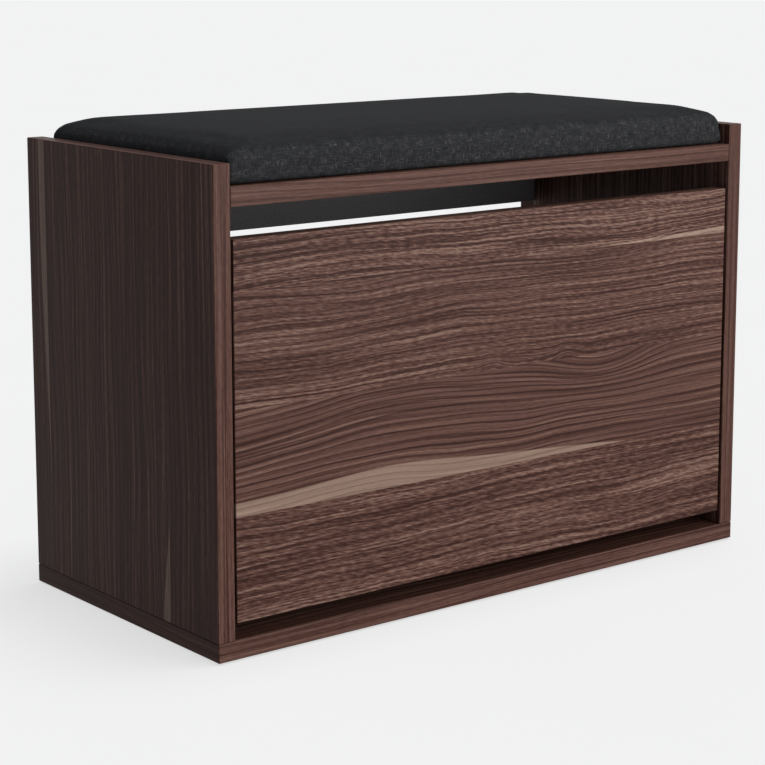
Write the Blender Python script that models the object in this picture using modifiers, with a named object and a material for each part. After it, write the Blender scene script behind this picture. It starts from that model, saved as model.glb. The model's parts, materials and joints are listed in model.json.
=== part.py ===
"""Storage bench: a walnut-look carcass, an upholstered seat and a tilt-out front with a shoe rack.

Metres, +Z up, the front faces -Y. The origin is on the floor, under the middle of the carcass.
"""

import math

import bmesh
import bpy
from mathutils import Matrix, Vector

MM = 0.001

# Overall sizes of the carcass
WIDTH = 675 * MM                # outer face to outer face of the sides
DEPTH = 330 * MM                # front edge to back edge
HEIGHT = 456.5 * MM             # floor to the top of the sides

# Boards
BOARD = 18 * MM                 # base, sides and seat board
DOOR_THICK = 18 * MM
RAIL_THICK = 18 * MM
RACK_BOARD = 12 * MM
EDGE_ROUND = 0.8 * MM           # rounding of every board edge
GAP = 0.3 * MM                  # between pieces that touch
SMALL_OVERCUT = 1 * MM          # how far a cutter starts outside the face it cuts

# Seat
SIDE_ABOVE_SEAT = 21 * MM
UPPER_RAIL_HEIGHT = 71 * MM
LOWER_RAIL_HEIGHT = 70 * MM
RAIL_SETBACK = 7 * MM           # back edge of the sides to the back of the rails

# Cushion
CUSHION_THICK = 42 * MM
CUSHION_SIDE_GAP = 2 * MM
CUSHION_SETBACK = 5 * MM        # from the seat board's front and back edges
CUSHION_CORNER = 17 * MM        # corners seen from above
CUSHION_SHOULDER = 20 * MM      # rounding of the top edge
CUSHION_BOARD_THICK = 9 * MM
CUSHION_BOARD_INSET = 22 * MM   # cushion's outline to its board's

# Door
DOOR_SETBACK = 1 * MM
DOOR_SIDE_GAP = 3 * MM
FINGER_GAP = 29 * MM            # seat board to the top of the door
DOOR_BASE_GAP = 16 * MM         # base board to the bottom of the door

# Tilt hinge
PIVOT_BEHIND_FRONT = 30 * MM
PIVOT_ABOVE_BASE = 42 * MM      # above the base board's top face
OPEN_ANGLE = math.radians(48)
STOP_ANGLE = math.radians(62)   # the stop pin's place round the pivot, from straight back
STOP_MARGIN = 13 * MM           # arc slot's centre line to the divider's front face
PIN_RADIUS = 3 * MM
BUSH_RADIUS = 6 * MM
BUSH_DEPTH = 12 * MM
BUSH_FLOOR = 2 * MM             # left at the closed end of its bore
PIVOT_HEAD_RADIUS = 5 * MM
PIVOT_HEAD_HEIGHT = 2 * MM
COLLAR_RADIUS = 10 * MM
STOP_PIN_DEPTH = 10 * MM

# Tilt plates and shoe rack
PLATE_THICK = 3 * MM
FLANGE_WIDTH = 20 * MM
FLANGE_PROUD = 0.5 * MM         # the flange stands this far in front of the plate's own edge
FLANGE_SHORT = 1 * MM           # and ends this far inside its top and bottom
PLATE_MARGIN = 6 * MM           # round the rack boards
PLATE_TOP_DROP = 70 * MM        # door's top to the top of the plate's flange
RIB_THICK = 2 * MM
RIB_HEIGHT = 8 * MM
RACK_ABOVE_BASE = 20 * MM       # base board to the underside of the front floor
REAR_FLOOR_RISE = 70 * MM       # underside of the front floor to the underside of the rear floor
REAR_WALL_HEIGHT = 110 * MM     # above the rear floor's top
DIVIDER_ABOVE_REAR = 40 * MM    # divider's top above the rear floor's top
RACK_TO_RAIL = 25 * MM
SWING_CLEARANCE = 50 * MM       # seat board to the rack's highest point as it swings

# Fittings
CAM_RADIUS = 7.5 * MM
CAM_DEPTH = 12.5 * MM
CAM_FROM_END = 34 * MM
BOLT_RADIUS = 3 * MM
BOLT_IN_SIDE = 11 * MM
BOLT_HEAD_IN_CAM = 5 * MM
BOLT_HEAD_LENGTH = 2 * MM
BOLT_NECK_LENGTH = 4 * MM
BOLT_NECK_RADIUS = 1.8 * MM
BOLT_CONE = 1 * MM              # the slope from the head to the neck, and half the one to the shank
CAM_SLOT_LENGTH = 10 * MM       # the screwdriver slot in the cam's face
CAM_SLOT_WIDTH = 1.6 * MM
CAM_SLOT_DEPTH = 1.5 * MM
CAM_EDGE_DISTANCE = 50 * MM     # seat board's front or back edge to a cam
SCREW_RADIUS = 3 * MM
SCREW_HEAD_RADIUS = 5 * MM
SCREW_HEAD_HEIGHT = 3 * MM
SCREW_LENGTH = 50 * MM
DOWEL_RADIUS = 4 * MM
DOWEL_IN_BASE = 12 * MM
DOWEL_IN_SIDE = 18 * MM
END_CHAMFER = 1 * MM            # on dowels, pins and glides
BASE_SCREW_INSET = 55 * MM      # from the front and back edges
BASE_DOWEL_INSET = 105 * MM
GLIDE_RADIUS = 11 * MM
GLIDE_HEIGHT = 1.5 * MM
GLIDE_NAIL_RADIUS = 1.2 * MM
GLIDE_NAIL_LENGTH = 10 * MM
GLIDE_INSET = 30 * MM
SMALL_SCREW_RADIUS = 2 * MM
SMALL_HEAD_RADIUS = 4 * MM
SMALL_HEAD_HEIGHT = 2.2 * MM
PLATE_SCREW_LENGTH = 15 * MM
PLATE_SCREW_FROM_TOP = 30 * MM
PLATE_SCREW_SPACING = 150 * MM
CUSHION_SCREW_IN_BOARD = 7 * MM
CUSHION_SCREW_INSET = 60 * MM
SIDES = 20                      # facets of a round piece
HIDDEN_SIDES = 12               # facets of a round piece that lies inside the boards

# Places worked out from the sizes above
FRONT = -DEPTH / 2
BACK = DEPTH / 2
BASE_TOP = GLIDE_HEIGHT + BOARD
SEAT_TOP = HEIGHT - SIDE_ABOVE_SEAT
SEAT_UNDER = SEAT_TOP - BOARD
INNER = WIDTH / 2 - BOARD       # inner face of each side, from the middle
SIDE_BOTTOM = BASE_TOP + GAP
RAIL_BACK = BACK - RAIL_SETBACK
RAIL_FRONT = RAIL_BACK - RAIL_THICK
DOOR_FRONT = FRONT + DOOR_SETBACK
DOOR_BACK = DOOR_FRONT + DOOR_THICK
DOOR_HALF = INNER - DOOR_SIDE_GAP
DOOR_BOTTOM = BASE_TOP + DOOR_BASE_GAP
DOOR_TOP = SEAT_UNDER - FINGER_GAP
PIVOT = Vector((0, FRONT + PIVOT_BEHIND_FRONT, BASE_TOP + PIVOT_ABOVE_BASE))
PLATE_OUTER = DOOR_HALF
PLATE_INNER = PLATE_OUTER - PLATE_THICK
RACK_HALF = PLATE_INNER - GAP
RACK_FRONT = DOOR_BACK + GAP + PLATE_THICK + GAP
FLOOR_BOTTOM = BASE_TOP + RACK_ABOVE_BASE
FLOOR_TOP = FLOOR_BOTTOM + RACK_BOARD
REAR_FLOOR_BOTTOM = FLOOR_BOTTOM + REAR_FLOOR_RISE
REAR_FLOOR_TOP = REAR_FLOOR_BOTTOM + RACK_BOARD
REAR_WALL_TOP = REAR_FLOOR_TOP + REAR_WALL_HEIGHT
DIVIDER_TOP = REAR_FLOOR_TOP + DIVIDER_ABOVE_REAR
SWING_RADIUS = SEAT_UNDER - SWING_CLEARANCE - PIVOT.z
BACK_BY_SWING = PIVOT.y + math.sqrt(SWING_RADIUS ** 2 - (REAR_WALL_TOP - PIVOT.z) ** 2)
RACK_BACK = min(RAIL_FRONT - RACK_TO_RAIL, BACK_BY_SWING)
ROW_DEPTH = (RACK_BACK - RACK_FRONT - 2 * RACK_BOARD) / 2
DIVIDER_FRONT = RACK_FRONT + ROW_DEPTH
DIVIDER_BACK = DIVIDER_FRONT + RACK_BOARD
STOP_RADIUS = DIVIDER_FRONT - STOP_MARGIN - PIVOT.y
PLATE_TOP = DOOR_TOP - PLATE_TOP_DROP
PLATE_BOTTOM = FLOOR_BOTTOM - PLATE_MARGIN / 2

# name: (colour, roughness, metallic)
MATERIALS = {
    "walnut_board": ((0.045, 0.022, 0.018), 0.5, 0.0),
    "dark_board": ((0.088, 0.085, 0.087), 0.6, 0.0),
    "fabric": ((0.012, 0.012, 0.013), 0.95, 0.0),
    "plywood": ((0.45, 0.31, 0.18), 0.7, 0.0),
    "beech": ((0.55, 0.38, 0.22), 0.7, 0.0),
    "black_plastic": ((0.02, 0.02, 0.021), 0.45, 0.0),
    "zinc": ((0.55, 0.55, 0.56), 0.35, 1.0),
}


def clear_scene():
    for obj in list(bpy.data.objects):
        bpy.data.objects.remove(obj, do_unlink=True)


def new_collection(name):
    collection = bpy.data.collections.new(name)
    bpy.context.scene.collection.children.link(collection)
    return collection


def make_materials():
    for name, (colour, roughness, metallic) in MATERIALS.items():
        material = bpy.data.materials.new(name)
        material.use_nodes = True
        shader = material.node_tree.nodes["Principled BSDF"]
        shader.inputs["Base Color"].default_value = (*colour, 1)
        shader.inputs["Roughness"].default_value = roughness
        shader.inputs["Metallic"].default_value = metallic


def add_object(name, bm, origin, material, collection):
    """Turn a bmesh that is built round the origin into an object that stands at origin."""
    mesh = bpy.data.meshes.new(name)
    bm.to_mesh(mesh)
    bm.free()
    obj = bpy.data.objects.new(name, mesh)
    obj.location = origin
    collection.objects.link(obj)
    if material:
        mesh.materials.append(bpy.data.materials[material])
    return obj


def round_edges(obj, width, segments=2):
    bevel = obj.modifiers.new("rounded_edges", "BEVEL")
    bevel.width = width
    bevel.segments = segments
    bevel.limit_method = "ANGLE"


def box(name, low, high, material, collection, edge=0.0):
    """A block between two corners, with its edges rounded by edge."""
    low = Vector(low)
    high = Vector(high)
    bm = bmesh.new()
    bmesh.ops.create_cube(bm, size=1)
    bmesh.ops.scale(bm, verts=bm.verts, vec=high - low)
    obj = add_object(name, bm, (low + high) / 2, material, collection)
    if edge:
        round_edges(obj, edge)
    return obj


def board(name, low, high, material="walnut_board"):
    return box(name, low, high, material, PARTS, EDGE_ROUND)


def turned(name, profile, place, direction, material, collection, sides=SIDES):
    """A turned piece: profile is (radius, height) from the top down, and +Z goes along direction."""
    bm = bmesh.new()
    ring = [bm.verts.new((radius, 0, height)) for radius, height in profile]
    for above, below in zip(ring, ring[1:]):
        bm.edges.new((above, below))
    obj = add_object(name, bm, place, material, collection)
    obj.rotation_mode = "QUATERNION"
    obj.rotation_quaternion = Vector(direction).to_track_quat("Z", "Y")
    screw = obj.modifiers.new("turning", "SCREW")
    screw.steps = sides
    screw.render_steps = sides
    screw.use_merge_vertices = True
    screw.merge_threshold = 0.01 * MM
    screw.use_smooth_shade = False
    return obj


def cut(piece, cutter):
    cutter.hide_render = True
    cutter.display_type = "WIRE"
    boolean = piece.modifiers.new("cut_" + cutter.name, "BOOLEAN")
    boolean.operation = "DIFFERENCE"
    boolean.solver = "EXACT"
    boolean.object = cutter


def join(piece, added):
    added.hide_render = True
    added.display_type = "WIRE"
    boolean = piece.modifiers.new("join_" + added.name, "BOOLEAN")
    boolean.operation = "UNION"
    boolean.solver = "EXACT"
    boolean.object = added


def bore(piece, mouth, direction, radius, depth, sides=SIDES):
    """Drill piece from mouth along direction; the cutter starts a little outside the face."""
    profile = [(0, depth), (radius, depth), (radius, -SMALL_OVERCUT), (0, -SMALL_OVERCUT)]
    cut(piece, turned("bore_" + piece.name, profile, mouth, direction, None, CUTTERS, sides))


def drill_through(piece, start, direction, radius, length):
    bore(piece, start, direction, radius, length + SMALL_OVERCUT)


def pan_screw(name, seat, direction, radius, head_radius, head_height, length, material="zinc"):
    """A screw whose head lies on seat and whose shank goes length along direction."""
    tip = 2 * radius
    profile = [
        (0, length),
        (radius * 0.35, length),
        (radius, length - tip),
        (radius, 0),
        (head_radius, 0),
        (head_radius, -head_height * 0.6),
        (head_radius * 0.7, -head_height),
        (0, -head_height),
    ]
    screw = turned(name, profile, seat, direction, material, PARTS)
    socket = turned(
        "socket_" + name,
        [(0, -head_height * 0.4), (radius * 0.6, -head_height * 0.4),
         (radius * 0.6, -head_height - SMALL_OVERCUT), (0, -head_height - SMALL_OVERCUT)],
        seat, direction, None, CUTTERS, 6,
    )
    cut(screw, socket)
    return screw


# Carcass

def make_base_board():
    return board("base_board", (-WIDTH / 2, FRONT, GLIDE_HEIGHT), (WIDTH / 2, BACK, BASE_TOP))


def make_side_panel(name, sign):
    xs = sorted((sign * INNER, sign * WIDTH / 2))
    return board(name, (xs[0], FRONT, SIDE_BOTTOM), (xs[1], BACK, HEIGHT))


def make_seat_board():
    end = INNER - GAP
    return board("seat_board", (-end, FRONT, SEAT_UNDER), (end, BACK, SEAT_TOP))


def make_back_rail(name, bottom, top):
    end = INNER - GAP
    return board(name, (-end, RAIL_FRONT, bottom), (end, RAIL_BACK, top), "dark_board")


def make_base_screws_and_dowels(base, sides):
    """Confirmat screws and dowels go up through the base into the bottom edge of each side."""
    middle = WIDTH / 2 - BOARD / 2
    for side_name, sign, side in sides:
        for end_name, y in (("front", FRONT + BASE_SCREW_INSET), ("back", BACK - BASE_SCREW_INSET)):
            name = f"base_screw_{side_name}_{end_name}"
            seat = Vector((sign * middle, y, GLIDE_HEIGHT + SCREW_HEAD_HEIGHT + GAP))
            pan_screw(name, seat, (0, 0, 1), SCREW_RADIUS, SCREW_HEAD_RADIUS, SCREW_HEAD_HEIGHT, SCREW_LENGTH)
            under = Vector((seat.x, y, GLIDE_HEIGHT))
            bore(base, under, (0, 0, 1), SCREW_HEAD_RADIUS + GAP, SCREW_HEAD_HEIGHT + 2 * GAP)
            drill_through(base, under, (0, 0, 1), SCREW_RADIUS + GAP, BOARD)
            bore(side, (seat.x, y, SIDE_BOTTOM), (0, 0, 1), SCREW_RADIUS + GAP,
                 seat.z + SCREW_LENGTH + GAP - SIDE_BOTTOM)
        for end_name, y in (("front", FRONT + BASE_DOWEL_INSET), ("back", BACK - BASE_DOWEL_INSET)):
            place = Vector((sign * middle, y, BASE_TOP))
            profile = [
                (0, DOWEL_IN_SIDE),
                (DOWEL_RADIUS - END_CHAMFER, DOWEL_IN_SIDE),
                (DOWEL_RADIUS, DOWEL_IN_SIDE - END_CHAMFER),
                (DOWEL_RADIUS, END_CHAMFER - DOWEL_IN_BASE),
                (DOWEL_RADIUS - END_CHAMFER, -DOWEL_IN_BASE),
                (0, -DOWEL_IN_BASE),
            ]
            turned(f"base_dowel_{side_name}_{end_name}", profile, place, (0, 0, 1), "beech", PARTS,
                   HIDDEN_SIDES)
            bore(base, place, (0, 0, -1), DOWEL_RADIUS + GAP, DOWEL_IN_BASE + GAP, HIDDEN_SIDES)
            bore(side, (place.x, y, SIDE_BOTTOM), (0, 0, 1), DOWEL_RADIUS + GAP, DOWEL_IN_SIDE + GAP,
                 HIDDEN_SIDES)


def make_cam_fitting(name, piece, side, end, sign, open_direction):
    """A cam lock in piece, opening along open_direction, and its bolt from the side panel.

    end is the middle of the piece's end face; the cam's flat mouth is half a board away from it.
    """
    open_direction = Vector(open_direction)
    inward = Vector((-sign, 0, 0))
    thick = BOARD if piece.name == "seat_board" else RAIL_THICK
    mouth = end + inward * CAM_FROM_END + open_direction * thick / 2
    bore(piece, mouth, -open_direction, CAM_RADIUS + GAP, CAM_DEPTH + GAP)
    bore(piece, end, inward, BOLT_RADIUS + GAP, CAM_FROM_END, HIDDEN_SIDES)
    socket = Vector((sign * INNER, end.y, end.z))
    bore(side, socket, -inward, BOLT_RADIUS + GAP, BOLT_IN_SIDE + GAP, HIDDEN_SIDES)

    reach = CAM_FROM_END - CAM_RADIUS + BOLT_HEAD_IN_CAM
    neck_top = reach - BOLT_HEAD_LENGTH - BOLT_CONE
    neck_end = neck_top - BOLT_NECK_LENGTH
    profile = [
        (0, reach),
        (BOLT_RADIUS, reach),
        (BOLT_RADIUS, reach - BOLT_HEAD_LENGTH),
        (BOLT_NECK_RADIUS, neck_top),
        (BOLT_NECK_RADIUS, neck_end),
        (BOLT_RADIUS, neck_end - 2 * BOLT_CONE),
        (BOLT_RADIUS, -BOLT_IN_SIDE),
        (0, -BOLT_IN_SIDE),
    ]
    turned("cam_bolt_" + name, profile, socket, inward, "zinc", PARTS, HIDDEN_SIDES)

    cam = turned(
        "cam_lock_" + name,
        [(0, CAM_DEPTH), (CAM_RADIUS, CAM_DEPTH), (CAM_RADIUS, 0), (0, 0)],
        mouth - open_direction * CAM_DEPTH, open_direction, "zinc", PARTS,
    )
    bore(cam, end + inward * (CAM_FROM_END - CAM_RADIUS), inward,
         BOLT_RADIUS + 2 * GAP, BOLT_HEAD_IN_CAM + BOLT_HEAD_LENGTH, HIDDEN_SIDES)
    along = Vector((1, 0, 0))
    slot_half = (along * CAM_SLOT_LENGTH + open_direction.cross(along) * CAM_SLOT_WIDTH) / 2
    slot_half += open_direction * CAM_SLOT_DEPTH
    slot_half = Vector(abs(size) for size in slot_half)
    slot = box("slot_cam_" + name, mouth - slot_half, mouth + slot_half, None, CUTTERS)
    cut(cam, slot)


def make_glides(base):
    half = WIDTH / 2 - GLIDE_INSET
    for side_name, sign in (("left", -1), ("right", 1)):
        for end_name, y in (("front", FRONT + GLIDE_INSET), ("back", BACK - GLIDE_INSET)):
            under = Vector((sign * half, y, GLIDE_HEIGHT))
            top = -GAP
            profile = [
                (0, GLIDE_NAIL_LENGTH),
                (GLIDE_NAIL_RADIUS, GLIDE_NAIL_LENGTH - 2 * GLIDE_NAIL_RADIUS),
                (GLIDE_NAIL_RADIUS, top),
                (GLIDE_RADIUS, top),
                (GLIDE_RADIUS, -GLIDE_HEIGHT * 0.6),
                (GLIDE_RADIUS - END_CHAMFER, -GLIDE_HEIGHT),
                (0, -GLIDE_HEIGHT),
            ]
            turned(f"glide_{side_name}_{end_name}", profile, under, (0, 0, 1), "black_plastic", PARTS)
            bore(base, under, (0, 0, 1), GLIDE_NAIL_RADIUS + GAP, GLIDE_NAIL_LENGTH + GAP, HIDDEN_SIDES)


# Cushion

def make_cushion(seat):
    """A padded block with rounded corners; its board lies in a recess of the underside."""
    half = INNER - CUSHION_SIDE_GAP
    front = FRONT + CUSHION_SETBACK
    back = BACK - CUSHION_SETBACK
    bottom = SEAT_TOP + GAP
    bm = bmesh.new()
    bmesh.ops.create_cube(bm, size=1)
    size = Vector((2 * half, back - front, CUSHION_THICK))
    bmesh.ops.scale(bm, verts=bm.verts, vec=size)
    upright = [e for e in bm.edges if abs(e.verts[0].co.z - e.verts[1].co.z) > CUSHION_THICK / 2]
    bmesh.ops.bevel(bm, geom=upright, offset=CUSHION_CORNER, segments=5, profile=0.5, affect="EDGES")
    top = [e for e in bm.edges if min(v.co.z for v in e.verts) > CUSHION_THICK / 2 - 0.01 * MM]
    shoulder = min(CUSHION_SHOULDER, CUSHION_CORNER - MM)
    bmesh.ops.bevel(bm, geom=top, offset=shoulder, segments=4, profile=0.5, affect="EDGES")
    middle = Vector((0, (front + back) / 2, bottom + CUSHION_THICK / 2))
    cushion = add_object("seat_cushion", bm, middle, "fabric", PARTS)

    board_low = Vector((-half + CUSHION_BOARD_INSET, front + CUSHION_BOARD_INSET, bottom))
    board_high = Vector((-board_low.x, back - CUSHION_BOARD_INSET, bottom + CUSHION_BOARD_THICK))
    around = Vector((GAP, GAP, GAP))
    recess_low = board_low - around - Vector((0, 0, SMALL_OVERCUT))
    cut(cushion, box("recess_cushion", recess_low, board_high + around, None, CUTTERS))
    plywood = board("cushion_board", board_low, board_high, "plywood")

    for side_name, sign in (("left", -1), ("right", 1)):
        for end_name, y in (("front", front + CUSHION_SCREW_INSET), ("back", back - CUSHION_SCREW_INSET)):
            x = sign * (half - CUSHION_SCREW_INSET)
            under = Vector((x, y, SEAT_UNDER))
            length = bottom + CUSHION_SCREW_IN_BOARD - SEAT_UNDER
            pan_screw(f"cushion_screw_{side_name}_{end_name}", under - Vector((0, 0, GAP)), (0, 0, 1),
                      SMALL_SCREW_RADIUS, SMALL_HEAD_RADIUS, SMALL_HEAD_HEIGHT, length)
            drill_through(seat, under, (0, 0, 1), SMALL_SCREW_RADIUS + GAP, BOARD)
            bore(plywood, (x, y, bottom), (0, 0, 1), SMALL_SCREW_RADIUS + GAP, CUSHION_SCREW_IN_BOARD + GAP)


# Tilting front

def make_door(pivot):
    door = board("door_panel", (-DOOR_HALF, DOOR_FRONT, DOOR_BOTTOM), (DOOR_HALF, DOOR_BACK, DOOR_TOP))
    hang(door, pivot)
    return door


def hang(piece, pivot):
    """Parent piece to the pivot's empty without moving it."""
    piece.parent = pivot
    piece.matrix_parent_inverse = Matrix.Translation(-pivot.location)


def arc_points(centre, radius, start, end, steps):
    """(y, z) points on an arc about centre."""
    points = []
    for i in range(steps + 1):
        angle = start + (end - start) * i / steps
        points.append((centre[0] + radius * math.cos(angle), centre[1] + radius * math.sin(angle)))
    return points


def flat_outline(name, outlines, x, thick, material, collection):
    """A flat piece in the YZ plane from closed outlines of (y, z) points, centred on x."""
    curve = bpy.data.curves.new(name, "CURVE")
    curve.dimensions = "2D"
    curve.fill_mode = "BOTH"
    curve.extrude = thick / 2
    for outline in outlines:
        spline = curve.splines.new("POLY")
        spline.points.add(len(outline) - 1)
        for point, (y, z) in zip(spline.points, outline):
            point.co = (y, z, 0, 1)
        spline.use_cyclic_u = True
    shape = bpy.data.objects.new(name + "_outline", curve)
    shape.matrix_world = Matrix(((0, 0, 1, x), (1, 0, 0, 0), (0, 1, 0, 0), (0, 0, 0, 1)))
    collection.objects.link(shape)
    bpy.context.view_layer.update()
    graph = bpy.context.evaluated_depsgraph_get()
    mesh = bpy.data.meshes.new_from_object(shape.evaluated_get(graph))
    bm = bmesh.new()
    bm.from_mesh(mesh)
    bmesh.ops.remove_doubles(bm, verts=bm.verts, dist=0.01 * MM)
    bmesh.ops.recalc_face_normals(bm, faces=bm.faces)
    bm.to_mesh(mesh)
    bm.free()
    mesh.name = name
    flat = bpy.data.objects.new(name, mesh)
    flat.matrix_world = shape.matrix_world
    collection.objects.link(flat)
    bpy.data.objects.remove(shape, do_unlink=True)
    if material:
        mesh.materials.clear()
        mesh.materials.append(bpy.data.materials[material])
    return flat


def slot_outline():
    """The arc slot about the pivot that the stop pin runs in."""
    centre = (PIVOT.y, PIVOT.z)
    half = PIN_RADIUS + 2 * GAP
    low = STOP_ANGLE - OPEN_ANGLE
    outer = arc_points(centre, STOP_RADIUS + half, low, STOP_ANGLE, 12)
    top_end = (centre[0] + STOP_RADIUS * math.cos(STOP_ANGLE), centre[1] + STOP_RADIUS * math.sin(STOP_ANGLE))
    low_end = (centre[0] + STOP_RADIUS * math.cos(low), centre[1] + STOP_RADIUS * math.sin(low))
    far_cap = arc_points(top_end, half, STOP_ANGLE, STOP_ANGLE + math.pi, 6)[1:-1]
    inner = arc_points(centre, STOP_RADIUS - half, STOP_ANGLE, low, 12)
    near_cap = arc_points(low_end, half, low + math.pi, low + 2 * math.pi, 6)[1:-1]
    return outer + far_cap + inner + near_cap


def plate_outline():
    """Round the rack: low under the front row, a step up to the rear row, and sloping to the door."""
    front = DOOR_BACK + GAP + FLANGE_PROUD
    step = DIVIDER_BACK + PLATE_MARGIN
    rear = RACK_BACK + PLATE_MARGIN
    low = PLATE_BOTTOM
    middle = REAR_FLOOR_BOTTOM - PLATE_MARGIN
    top = REAR_WALL_TOP + PLATE_MARGIN
    corner = 2 * PLATE_MARGIN
    quarter = math.pi / 2
    outline = [(front, low)]
    outline += arc_points((step - corner, low + corner), corner, -quarter, 0, 4)
    outline += arc_points((rear - corner, middle + corner), corner, -quarter, 0, 4)
    outline += arc_points((rear - corner, top - corner), corner, 0, quarter, 4)
    outline += [(front + 2 * FLANGE_WIDTH, PLATE_TOP), (front, PLATE_TOP)]
    return outline


def rack_boards():
    """Low and high (y, z) corners of each rack board, and the axis that its length runs along."""
    return {
        "rack_floor_front": ((RACK_FRONT, FLOOR_BOTTOM), (DIVIDER_BACK, FLOOR_TOP), "y"),
        "rack_divider": ((DIVIDER_FRONT, FLOOR_TOP + GAP), (DIVIDER_BACK, DIVIDER_TOP), "z"),
        "rack_floor_rear": ((DIVIDER_BACK + GAP, REAR_FLOOR_BOTTOM), (RACK_BACK, REAR_FLOOR_TOP), "y"),
        "rack_wall_rear": ((RACK_BACK - RACK_BOARD, REAR_FLOOR_TOP + GAP), (RACK_BACK, REAR_WALL_TOP), "z"),
    }


def make_tilt_plate(name, sign, door, pivot):
    """A moulded plate with a flange on the door's back and a pair of ribs for each rack board."""
    middle = sign * (PLATE_INNER + PLATE_OUTER) / 2
    hole = arc_points((PIVOT.y, PIVOT.z), PIN_RADIUS + GAP, 0, 2 * math.pi, SIDES)[:-1]
    plate = flat_outline(name, [plate_outline(), slot_outline(), hole], middle, PLATE_THICK,
                         "black_plastic", PARTS)
    inner = sign * PLATE_INNER
    sunk = sign * (PLATE_INNER + PLATE_THICK / 2)
    flange_xs = sorted((sunk, sign * (PLATE_INNER - FLANGE_WIDTH)))
    flange = box("flange_" + name, (flange_xs[0], DOOR_BACK + GAP, PLATE_BOTTOM + FLANGE_SHORT),
                 (flange_xs[1], DOOR_BACK + GAP + PLATE_THICK, PLATE_TOP - FLANGE_SHORT), None, CUTTERS)
    join(plate, flange)
    rib_xs = sorted((sunk, inner - sign * RIB_HEIGHT))
    for board_name, (low, high, runs) in rack_boards().items():
        for which, (rib_low, rib_high) in enumerate(rib_pairs(low, high, runs)):
            rib = box(f"rib_{board_name}_{which}_{name}", (rib_xs[0], *rib_low), (rib_xs[1], *rib_high),
                      None, CUTTERS)
            join(plate, rib)
    hang(plate, pivot)
    screw_x = sign * (PLATE_INNER - FLANGE_WIDTH / 2)
    for row, drop in (("upper", 0), ("lower", PLATE_SCREW_SPACING)):
        z = PLATE_TOP - PLATE_SCREW_FROM_TOP - drop
        head = Vector((screw_x, DOOR_BACK + 2 * GAP + PLATE_THICK, z))
        screw = pan_screw(f"plate_screw_{name.split('_')[-1]}_{row}", head, (0, -1, 0), SMALL_SCREW_RADIUS,
                          SMALL_HEAD_RADIUS, SMALL_HEAD_HEIGHT, PLATE_SCREW_LENGTH)
        hang(screw, pivot)
        drill_through(plate, (screw_x, head.y - GAP, z), (0, -1, 0), SMALL_SCREW_RADIUS + GAP, PLATE_THICK)
        bore(door, (screw_x, DOOR_BACK, z), (0, -1, 0), SMALL_SCREW_RADIUS + GAP,
             PLATE_SCREW_LENGTH - PLATE_THICK - GAP)


def rib_pairs(low, high, runs):
    """The two ribs beside a board's end, a gap away from each face and clear of the next board."""
    keep = RIB_THICK + 2 * GAP
    if runs == "y":
        y0 = low[0] + keep
        y1 = high[0] - RACK_BOARD - keep
        under = ((y0, low[1] - GAP - RIB_THICK), (high[0] - keep, low[1] - GAP))
        over = ((y0, high[1] + GAP), (y1, high[1] + GAP + RIB_THICK))
        return under, over
    z0 = low[1] + keep
    z1 = high[1] - keep
    ahead = ((low[0] - GAP - RIB_THICK, z0), (low[0] - GAP, z1))
    if high[0] < RACK_BACK:
        z0 = REAR_FLOOR_TOP + keep
    behind = ((high[0] + GAP, z0), (high[0] + GAP + RIB_THICK, z1))
    return ahead, behind


def make_rack(pivot):
    for name, (low, high, _) in rack_boards().items():
        shelf = board(name, (-RACK_HALF, *low), (RACK_HALF, *high), "dark_board")
        hang(shelf, pivot)


def make_pivot(side_name, sign, side, pivot):
    """A plastic bush in the side panel and the steel pin that turns in it with the tilt plate."""
    inward = Vector((-sign, 0, 0))
    wall = Vector((sign * INNER, PIVOT.y, PIVOT.z))
    collar = DOOR_SIDE_GAP - GAP
    bore(side, wall, -inward, BUSH_RADIUS + GAP, BUSH_DEPTH + GAP)
    bush = turned(
        f"pivot_bush_{side_name}",
        [(0, collar), (COLLAR_RADIUS, collar), (COLLAR_RADIUS, GAP), (BUSH_RADIUS, GAP),
         (BUSH_RADIUS, -BUSH_DEPTH), (0, -BUSH_DEPTH)],
        wall, inward, "black_plastic", PARTS,
    )
    bore(bush, wall + inward * collar, -inward, PIN_RADIUS + GAP, collar + BUSH_DEPTH - BUSH_FLOOR)

    head_from_wall = DOOR_SIDE_GAP + PLATE_THICK + GAP
    length = head_from_wall + BUSH_DEPTH - BUSH_FLOOR - END_CHAMFER
    profile = [
        (0, PIVOT_HEAD_HEIGHT),
        (PIVOT_HEAD_RADIUS - END_CHAMFER, PIVOT_HEAD_HEIGHT),
        (PIVOT_HEAD_RADIUS, PIVOT_HEAD_HEIGHT - END_CHAMFER),
        (PIVOT_HEAD_RADIUS, 0),
        (PIN_RADIUS, 0),
        (PIN_RADIUS, END_CHAMFER - length),
        (PIN_RADIUS - END_CHAMFER, -length),
        (0, -length),
    ]
    pin = turned(f"pivot_pin_{side_name}", profile, wall + inward * head_from_wall, inward, "zinc", PARTS)
    hang(pin, pivot)


def make_stop_pin(side_name, sign, side):
    inward = Vector((-sign, 0, 0))
    place = Vector((sign * INNER, PIVOT.y + STOP_RADIUS * math.cos(STOP_ANGLE),
                    PIVOT.z + STOP_RADIUS * math.sin(STOP_ANGLE)))
    reach = DOOR_SIDE_GAP + PLATE_THICK - GAP
    profile = [
        (0, reach),
        (PIN_RADIUS - END_CHAMFER / 2, reach),
        (PIN_RADIUS, reach - END_CHAMFER / 2),
        (PIN_RADIUS, -STOP_PIN_DEPTH),
        (0, -STOP_PIN_DEPTH),
    ]
    turned(f"stop_pin_{side_name}", profile, place, inward, "zinc", PARTS)
    bore(side, place, -inward, PIN_RADIUS + GAP, STOP_PIN_DEPTH + GAP)


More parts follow.
